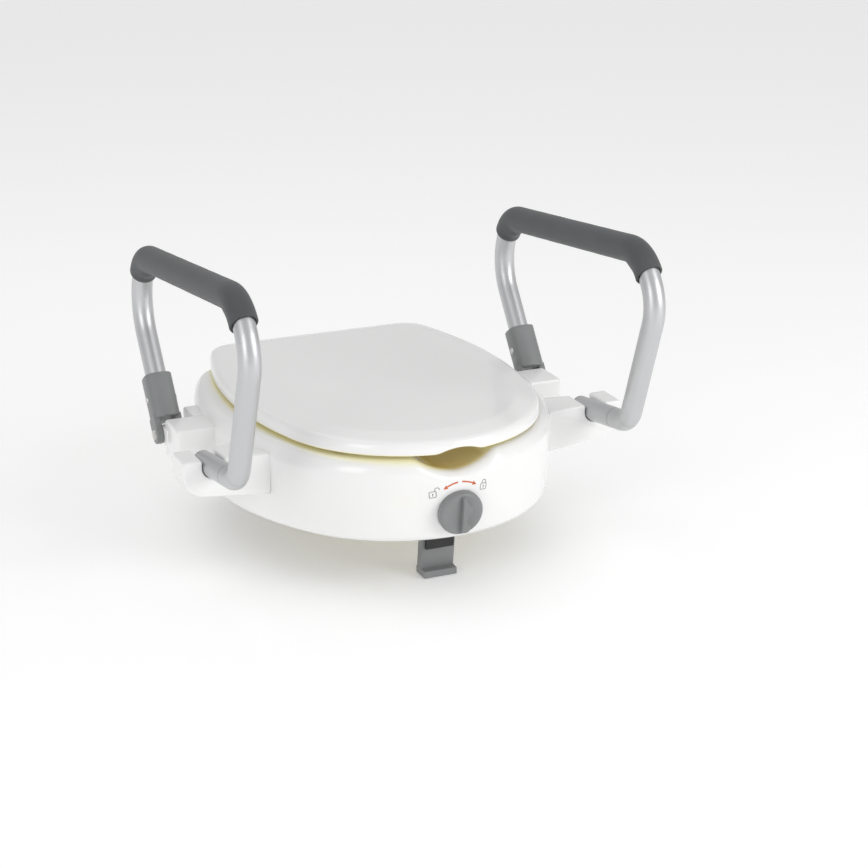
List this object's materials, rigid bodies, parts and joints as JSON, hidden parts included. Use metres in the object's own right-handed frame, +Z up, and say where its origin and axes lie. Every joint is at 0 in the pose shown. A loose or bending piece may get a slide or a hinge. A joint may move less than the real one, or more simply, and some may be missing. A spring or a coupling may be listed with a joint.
{
  "type": "raised toilet seat",
  "caption": "Raised toilet seat with a hinged lid, two swing-up padded armrests on tubes, a front screw clamp turned by a knob, and rear hooks.",
  "frame": {"origin": "middle of the outer box, on the plane that the feet of the hooks and of the clamp jaw stand on", "axes": "+Z up, -Y the front with the clamp knob, +X to the viewer's right; the object is symmetric about the plane X = 0"},
  "size_m": [0.55, 0.4697, 0.375],
  "materials": {
    "white_plastic": "glossy moulded plastic",
    "grey_plastic": "satin moulded plastic",
    "grey_foam": "matt foam sleeve",
    "anodised_tube": "satin anodised",
    "steel": "zinc plated",
    "black_rubber": "matt"
  },
  "bodies": {
    "seat": {"seat_shell": "white_plastic", "rim_pads": "black_rubber", "hook_pads": "black_rubber", "rear_hook_left": "white_plastic", "rear_hook_right": "white_plastic", "hook_screws": "steel", "clamp_guide": "white_plastic", "guide_screws": "steel", "spindle_bush": "grey_plastic"},
    "lid": {"lid": "white_plastic", "lid_bumpers": "black_rubber", "lid_hinge_pin_left": "white_plastic", "lid_hinge_pin_right": "white_plastic"},
    "armrest_left": {"armrest_tube_left": "anodised_tube", "armrest_grip_left": "grey_foam", "pivot_sleeve_left": "grey_plastic", "sleeve_rivet_left": "steel", "pivot_pin_left": "steel", "tube_end_plug_left": "grey_plastic"},
    "armrest_right": {"armrest_tube_right": "anodised_tube", "armrest_grip_right": "grey_foam", "pivot_sleeve_right": "grey_plastic", "sleeve_rivet_right": "steel", "pivot_pin_right": "steel", "tube_end_plug_right": "grey_plastic"},
    "knob": {"front_knob": "grey_plastic", "clamp_spindle": "steel", "spindle_clip": "steel"},
    "jaw": {"clamp_jaw": "grey_plastic", "clamp_nut": "steel", "clamp_jaw_pad": "black_rubber"}
  },
  "joints": [
    {"name": "lid_hinge", "type": "hinge", "parent": "seat", "child": "lid", "pos_m": [0, 0.2305, 0.168], "axis": [-1, 0, 0], "range_deg": [0, 100]},
    {"name": "armrest_left_hinge", "type": "hinge", "parent": "seat", "child": "armrest_left", "pos_m": [-0.24, 0.0887, 0.1267], "axis": [-1, 0, 0], "range_deg": [0, 80]},
    {"name": "armrest_right_hinge", "type": "hinge", "parent": "seat", "child": "armrest_right", "pos_m": [0.24, 0.0887, 0.1267], "axis": [-1, 0, 0], "range_deg": [0, 80]},
    {"name": "knob_turn", "type": "hinge", "parent": "seat", "child": "knob", "pos_m": [0, -0.21099, 0.0984], "axis": [0, -0.9914, -0.1305], "range_deg": [0, 1080]},
    {"name": "jaw_slide", "type": "slide", "parent": "seat", "child": "jaw", "axis": [0, 0.9914, 0.1305], "range_m": [0, 0.024]}
  ],
  "couplings": [
    {"joint": "jaw_slide", "follows": "knob_turn", "m_per_rad": 0.0012732}
  ]
}
